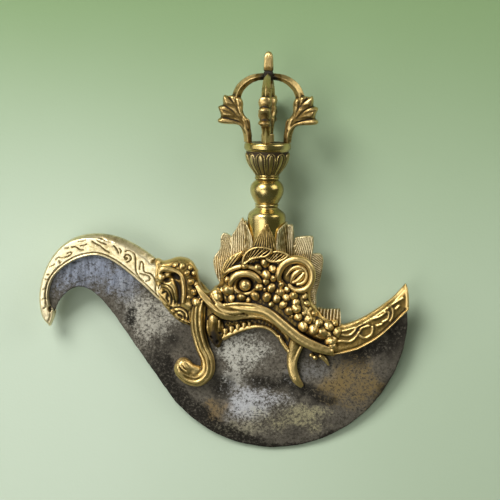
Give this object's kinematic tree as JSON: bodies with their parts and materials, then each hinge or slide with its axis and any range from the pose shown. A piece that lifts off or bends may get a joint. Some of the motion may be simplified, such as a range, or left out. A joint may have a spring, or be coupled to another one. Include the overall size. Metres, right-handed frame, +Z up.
{
  "type": "kartika chopper",
  "caption": "Ritual crescent chopper: an iron blade with brass spines, gripped by a two-sided makara head that carries a half-vajra handle; lies on its side.",
  "frame": {"origin": "centre of the bounding box's underside, on the surface that the chopper lies on", "axes": "+Z up from that surface, +Y toward the top of the handle, +X toward the blade's point; the hook is toward -X"},
  "size_m": [0.161, 0.1704, 0.044],
  "materials": {
    "cast_brass": "satin, with dark brown patina in the hollows",
    "turned_brass": "polished by handling",
    "iron": "mottled grey, brushed and stained"
  },
  "bodies": {
    "chopper": {"blade": "iron", "hook_spine": "cast_brass", "point_spine": "cast_brass", "head_front": "cast_brass", "head_rear": "cast_brass", "eye_front": "cast_brass", "eye_rear": "cast_brass", "ear_front": "cast_brass", "ear_rear": "cast_brass", "trunk_front": "cast_brass", "trunk_rear": "cast_brass", "tusk_front": "cast_brass", "tusk_rear": "cast_brass", "fang_front": "cast_brass", "fang_rear": "cast_brass", "crest_front": "cast_brass", "crest_rear": "cast_brass", "mane_left": "cast_brass", "mane_right": "cast_brass", "leaf_front": "cast_brass", "leaf_rear": "cast_brass", "jaw_comb": "cast_brass", "ferrule": "turned_brass", "neck_ring": "turned_brass", "bulb": "turned_brass", "collar_ring": "turned_brass", "lotus_cup": "cast_brass", "cup_rim": "turned_brass", "prong_left": "cast_brass", "prong_right": "cast_brass", "prong_front": "cast_brass", "prong_rear": "cast_brass", "centre_prong": "cast_brass"}
  },
  "joints": []
}
